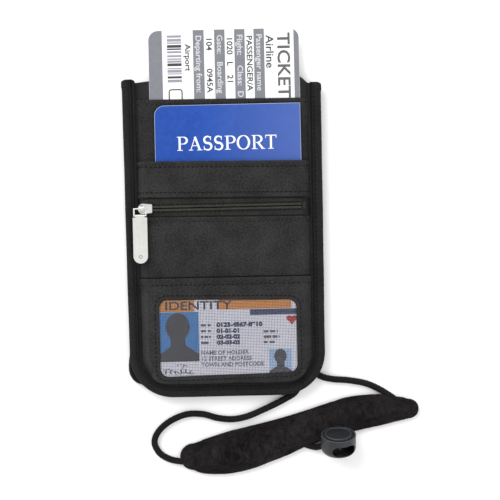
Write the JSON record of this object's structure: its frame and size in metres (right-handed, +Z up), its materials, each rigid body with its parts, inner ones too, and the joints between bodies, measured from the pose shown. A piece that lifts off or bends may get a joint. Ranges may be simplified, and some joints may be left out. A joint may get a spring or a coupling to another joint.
{
  "type": "neck pouch wallet",
  "caption": "Flat fabric neck pouch with slip, passport, zip and windowed card pockets, on a cord with a padded neck sleeve and a cord lock.",
  "frame": {"origin": "on the surface the pouch lies on, under the middle of the box round everything but the cords", "axes": "+X across the pouch to the right, +Y towards the pouch's open end, +Z up, out of the pouch's front"},
  "size_m": [0.1752, 0.2684, 0.0227],
  "materials": {
    "shell_fabric": "matt woven nylon",
    "lining_fabric": "thin woven lining",
    "window_mesh": "fine clear mesh film",
    "binding_tape": "ribbed grosgrain tape",
    "zip_tape": "woven zip tape",
    "zip_teeth": "moulded nylon coil",
    "slider_metal": "plated die casting",
    "pull_metal": "satin plated tab",
    "booklet_cover": "coated blue card",
    "booklet_paper": "uncoated pages",
    "pass_paper": "printed thermal card",
    "card_plastic": "printed laminated card",
    "cord_braid": "round braided cord",
    "pad_fleece": "brushed fleece",
    "pad_foam": "soft foam",
    "lock_plastic": "moulded plastic",
    "spring_wire": "drawn spring wire"
  },
  "bodies": {
    "pouch": {"back_panel": "shell_fabric", "back_lining": "lining_fabric", "slip_pocket_panel": "shell_fabric", "zip_pocket_lining": "lining_fabric", "passport_pocket_panel": "shell_fabric", "zip_pocket_panel": "shell_fabric", "card_pocket_panel": "shell_fabric", "card_window": "window_mesh", "edge_binding": "binding_tape", "zipper_tape_upper": "zip_tape", "zipper_tape_lower": "zip_tape", "zipper_teeth_upper": "zip_teeth", "zipper_teeth_lower": "zip_teeth", "zipper_end_stops": "zip_teeth", "cord_anchor_left": "binding_tape", "cord_anchor_right": "binding_tape", "cord_left": "cord_braid", "cord_right": "cord_braid", "cord_tail": "cord_braid", "neck_pad_base": "pad_fleece", "neck_pad_core": "pad_foam", "neck_pad_cover": "pad_fleece", "lock_barrel": "lock_plastic", "lock_spring": "spring_wire"},
    "slider": {"slider_body": "slider_metal"},
    "bail": {"pull_bail": "slider_metal"},
    "tab": {"pull_tab": "pull_metal"},
    "passport": {"passport_cover": "booklet_cover", "passport_pages": "booklet_paper"},
    "boarding_pass": {"boarding_pass": "pass_paper"},
    "id_card": {"id_card": "card_plastic"},
    "button": {"lock_button": "lock_plastic"}
  },
  "joints": [
    {"name": "zip_slide", "type": "slide", "parent": "pouch", "child": "slider", "axis": [1, 0, 0], "range_m": [0, 0.088]},
    {"name": "bail_hinge", "type": "hinge", "parent": "slider", "child": "bail", "pos_m": [-0.0777, 0.02673, 0.0137], "axis": [-1, 0, 0], "range_deg": [0, 90]},
    {"name": "tab_hinge", "type": "hinge", "parent": "bail", "child": "tab", "pos_m": [-0.0777, 0.02253, 0.0137], "axis": [-1, 0, 0], "range_deg": [0, 85]},
    {"name": "passport_slide", "type": "slide", "parent": "pouch", "child": "passport", "axis": [0, 1, 0], "range_m": [0, 0.11]},
    {"name": "boarding_pass_slide", "type": "slide", "parent": "pouch", "child": "boarding_pass", "axis": [0, 1, 0], "range_m": [0, 0.15]},
    {"name": "card_slide", "type": "slide", "parent": "pouch", "child": "id_card", "axis": [0, 1, 0], "range_m": [0, 0.04]},
    {"name": "button_press", "type": "slide", "parent": "pouch", "child": "button", "axis": [0, -0.9397, -0.342], "range_m": [0, 0.0024], "stiffness_N_per_m": 400, "springref_m": -0.003}
  ]
}
